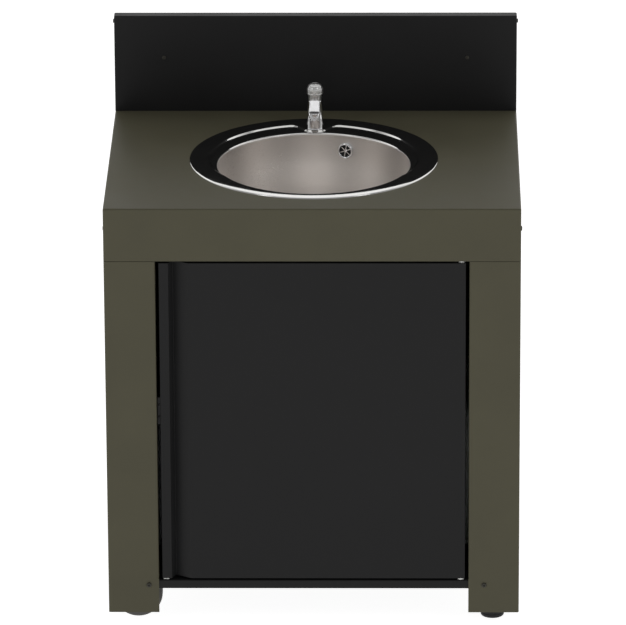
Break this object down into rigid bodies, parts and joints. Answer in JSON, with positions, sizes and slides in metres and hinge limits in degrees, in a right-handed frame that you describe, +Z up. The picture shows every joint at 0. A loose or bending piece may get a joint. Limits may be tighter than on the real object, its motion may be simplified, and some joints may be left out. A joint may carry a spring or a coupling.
{
  "type": "portable handwash sink",
  "caption": "Free-standing wheeled sink cabinet with an inset round basin, pillar tap, hinged door, backsplash, water tanks and pump.",
  "frame": {"origin": "centre of the whole object's footprint, on the floor that the feet and wheels stand on", "axes": "+Z up, the door faces -Y, +X to the right when facing the door from the front (the feet are at +X and the wheels at -X)"},
  "size_m": [0.846, 0.656, 1.108],
  "materials": {
    "taupe_steel": "satin powder coat",
    "black_steel": "satin powder coat",
    "stainless": "brushed bowl, polished rim",
    "chrome": "polished",
    "zinc_steel": "zinc plated",
    "black_screws": "black oxide",
    "brass": "machined",
    "white_nylon": "moulded nylon",
    "black_plastic": "moulded",
    "black_rubber": "moulded rubber",
    "grey_tyre": "non-marking rubber",
    "grey_hub": "moulded nylon",
    "pipe_plastic": "moulded polypropylene",
    "grey_tank": "blow-moulded polyethylene",
    "natural_tank": "blow-moulded polyethylene",
    "blue_cap": "moulded",
    "clear_hose": "braided PVC",
    "grey_hose": "corrugated",
    "red_lead": "PVC insulation",
    "battery_case": "moulded ABS"
  },
  "bodies": {
    "cabinet": {"worktop": "taupe_steel", "backsplash": "black_steel", "backsplash_rear_panel": "black_steel", "leg_front_left": "taupe_steel", "leg_front_right": "taupe_steel", "leg_rear_left": "taupe_steel", "leg_rear_right": "taupe_steel", "side_panel_left": "black_steel", "side_panel_right": "black_steel", "back_panel": "black_steel", "bottom_shelf": "black_steel", "cabinet_screws": "black_screws", "cabinet_nuts": "zinc_steel", "sink_bowl": "stainless", "sink_seals": "black_rubber", "sink_clips": "zinc_steel", "overflow_rosette": "chrome", "overflow_elbow": "black_plastic", "overflow_hose": "grey_hose", "strainer_body": "stainless", "strainer_nut": "black_plastic", "trap_body": "pipe_plastic", "trap_cup": "pipe_plastic", "trap_nuts": "pipe_plastic", "waste_hose": "grey_hose", "waste_tank": "grey_tank", "waste_spigot": "grey_hose", "fresh_tank": "natural_tank", "fresh_dip_tube": "pipe_plastic", "suction_hose": "clear_hose", "pump_head": "black_plastic", "pump_motor": "zinc_steel", "pump_bracket": "black_steel", "supply_hose": "clear_hose", "battery": "battery_case", "battery_strap": "black_steel", "power_lead": "red_lead", "tap_body": "chrome", "tap_lock_nut": "brass", "aerator": "chrome", "hinge_pins": "zinc_steel", "door_glide": "white_nylon", "magnet_catch": "black_plastic", "wheel_brackets": "zinc_steel", "wheel_axles": "zinc_steel"},
    "door": {"door_panel": "black_steel", "door_bushes": "white_nylon"},
    "tap_knob": {"tap_handle": "chrome", "tap_spindle": "brass"},
    "basket": {"strainer_basket": "stainless"},
    "waste_screw_cap": {"waste_cap": "black_plastic"},
    "fresh_screw_cap": {"fresh_cap": "blue_cap"},
    "front_wheel": {"front_wheel_tyre": "grey_tyre", "front_wheel_hub": "grey_hub"},
    "rear_wheel": {"rear_wheel_tyre": "grey_tyre", "rear_wheel_hub": "grey_hub"},
    "front_foot": {"foot_pad_front": "black_rubber"},
    "front_foot_screw": {"foot_stud_front": "zinc_steel"},
    "rear_foot": {"foot_pad_rear": "black_rubber"},
    "rear_foot_screw": {"foot_stud_rear": "zinc_steel"}
  },
  "joints": [
    {"name": "door_swing", "type": "hinge", "parent": "cabinet", "child": "door", "pos_m": [0.301, -0.315, 0.44], "axis": [0, 0, 1], "range_deg": [0, 105]},
    {"name": "tap_turn", "type": "hinge", "parent": "cabinet", "child": "tap_knob", "pos_m": [0, 0.181, 0.98], "axis": [0, 0, 1], "range_deg": [0, 180]},
    {"name": "basket_lift", "type": "slide", "parent": "cabinet", "child": "basket", "axis": [0, 0, 1], "range_m": [0, 0.12]},
    {"name": "waste_cap_turn", "type": "hinge", "parent": "cabinet", "child": "waste_screw_cap", "pos_m": [-0.267, -0.105, 0.43], "axis": [0, 0, 1], "range_deg": [0, 360]},
    {"name": "fresh_cap_turn", "type": "hinge", "parent": "cabinet", "child": "fresh_screw_cap", "pos_m": [0.267, -0.105, 0.43], "axis": [0, 0, 1], "range_deg": [0, 360]},
    {"name": "front_wheel_roll", "type": "hinge", "parent": "cabinet", "child": "front_wheel", "pos_m": [-0.361, -0.273, 0.05], "axis": [0, 1, 0], "continuous": true},
    {"name": "rear_wheel_roll", "type": "hinge", "parent": "cabinet", "child": "rear_wheel", "pos_m": [-0.361, 0.273, 0.05], "axis": [0, 1, 0], "continuous": true},
    {"name": "front_foot_height", "type": "slide", "parent": "cabinet", "child": "front_foot", "axis": [0, 0, 1], "range_m": [-0.008, 0.012]},
    {"name": "front_foot_turn", "type": "hinge", "parent": "front_foot", "child": "front_foot_screw", "pos_m": [0.3665, -0.273, 0.03], "axis": [0, 0, 1], "range_deg": [-1920, 2880]},
    {"name": "rear_foot_height", "type": "slide", "parent": "cabinet", "child": "rear_foot", "axis": [0, 0, 1], "range_m": [-0.008, 0.012]},
    {"name": "rear_foot_turn", "type": "hinge", "parent": "rear_foot", "child": "rear_foot_screw", "pos_m": [0.3665, 0.273, 0.03], "axis": [0, 0, 1], "range_deg": [-1920, 2880]}
  ],
  "couplings": [
    {"joint": "front_foot_turn", "follows": "front_foot_height", "rad_per_m": 4188.8},
    {"joint": "rear_foot_turn", "follows": "rear_foot_height", "rad_per_m": 4188.8}
  ]
}
